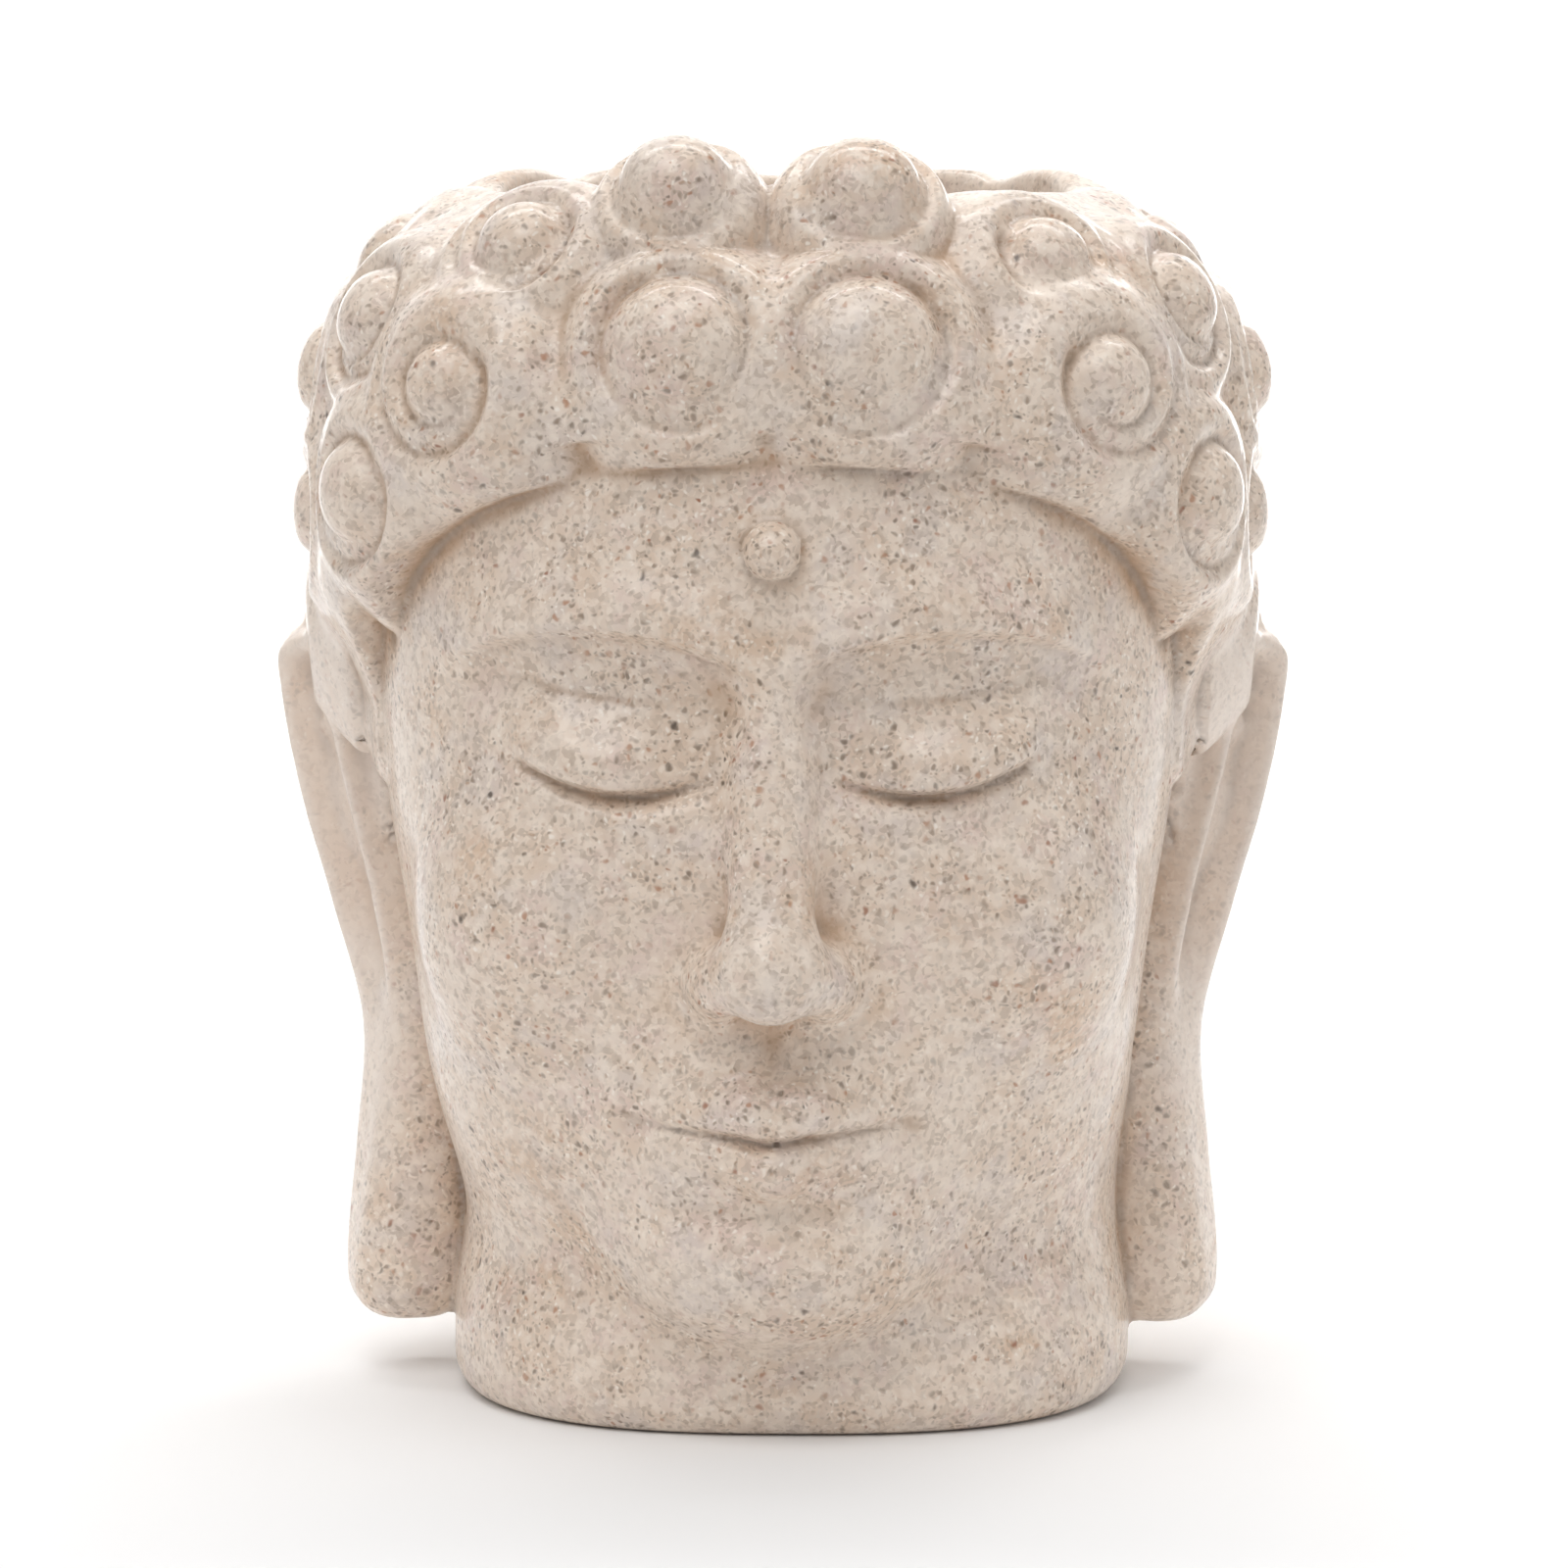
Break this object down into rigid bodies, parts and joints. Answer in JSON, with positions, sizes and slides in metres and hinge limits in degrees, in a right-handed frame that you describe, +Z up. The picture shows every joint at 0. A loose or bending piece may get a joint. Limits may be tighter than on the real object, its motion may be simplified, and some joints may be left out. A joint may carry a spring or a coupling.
{
  "type": "head planter",
  "caption": "Planter cast as a calm head with snail-shell curls and long ear lobes, open at the crown for a small plant and drained through its foot.",
  "frame": {"origin": "on the surface the planter stands on, under the middle of its bounding box", "axes": "+Z up, -Y the way the face looks, +X the left side of the head, which is the viewer's right"},
  "size_m": [0.1104, 0.1111, 0.1352],
  "materials": {
    "cast_sandstone": "speckled sand-filled resin, cream with grey, brown and white grains, under a clear gloss"
  },
  "bodies": {
    "root": {"head_planter": "cast_sandstone"}
  },
  "joints": []
}
